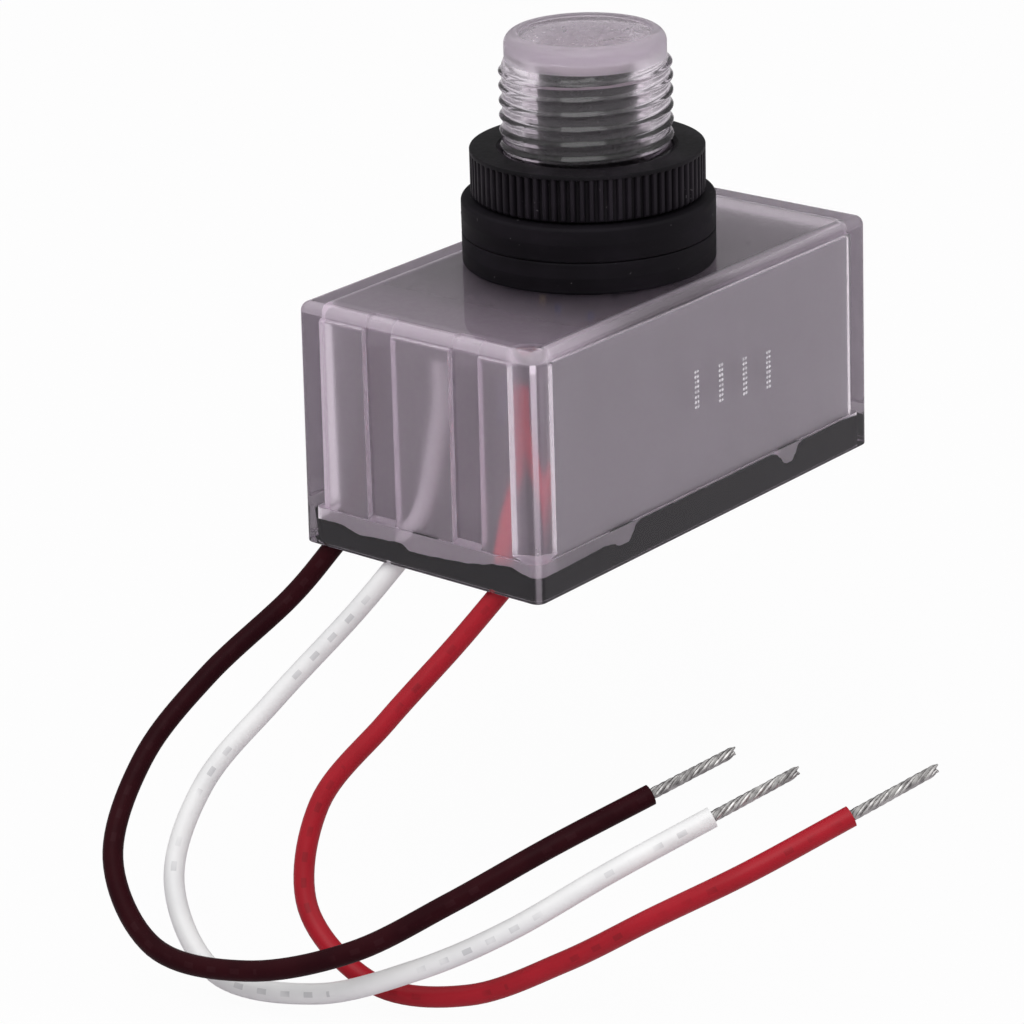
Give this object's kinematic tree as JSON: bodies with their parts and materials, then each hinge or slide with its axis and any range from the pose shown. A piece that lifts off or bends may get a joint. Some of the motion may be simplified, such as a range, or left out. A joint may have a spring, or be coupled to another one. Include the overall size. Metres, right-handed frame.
{
  "type": "photocell switch",
  "caption": "Clear boxed photocell switch with a threaded sensor nose, knurled lock nut, rubber gaskets and stripped leads from its potted base.",
  "frame": {"origin": "on the nose axis, at the wall that the two gaskets clamp", "axes": "+Z out along the nose, +X along the box away from the leads' end, +Y across the box"},
  "size_m": [0.104, 0.0915, 0.1039],
  "materials": {
    "clear_plastic": "clear polycarbonate with a faint lilac-grey tint, smooth outside and slightly hazy inside",
    "black_plastic": "moulded black plastic with a low sheen",
    "black_rubber": "dusty black moulded rubber",
    "black_resin": "glossy black potting resin",
    "grey_liner": "grey insulating fibre sheet",
    "board": "grey-green coated board",
    "cell_ceramic": "pale ceramic with a printed track",
    "relay_case": "dark blue moulded case",
    "film_case": "dark red moulded case",
    "can_sleeve": "dark shrink sleeve on an aluminium can",
    "varistor_coat": "blue dipped coat",
    "resistor_coat": "tan lacquer",
    "black_wire": "smooth black insulation",
    "white_wire": "smooth white insulation",
    "red_wire": "smooth red insulation",
    "tinned_copper": "tinned copper strands twisted together"
  },
  "bodies": {
    "body": {"housing": "clear_plastic", "base_plate": "clear_plastic", "lower_gasket": "black_rubber", "potting": "black_resin", "liner": "grey_liner", "circuit_board": "board", "sensor_tube": "black_plastic", "photocell": "cell_ceramic", "relay": "relay_case", "film_capacitor": "film_case", "smoothing_capacitor": "can_sleeve", "varistor": "varistor_coat", "rectifier_diodes": "black_plastic", "resistors": "resistor_coat", "transistor": "black_plastic", "black_lead": "black_wire", "white_lead": "white_wire", "red_lead": "red_wire", "black_tail": "black_wire", "white_tail": "white_wire", "red_tail": "red_wire", "black_strands": "tinned_copper", "white_strands": "tinned_copper", "red_strands": "tinned_copper"},
    "washer": {"upper_gasket": "black_rubber"},
    "nut": {"lock_nut": "black_plastic"}
  },
  "joints": [
    {"name": "nut_rise", "type": "slide", "parent": "body", "child": "washer", "axis": [0, 0, 1], "range_m": [0, 0.0137]},
    {"name": "nut_turn", "type": "hinge", "parent": "washer", "child": "nut", "pos_m": [0, 0, 0.0045], "axis": [0, 0, 1], "range_deg": [0, 2700]}
  ],
  "couplings": [
    {"joint": "nut_rise", "follows": "nut_turn", "m_per_rad": 0.00028876}
  ]
}
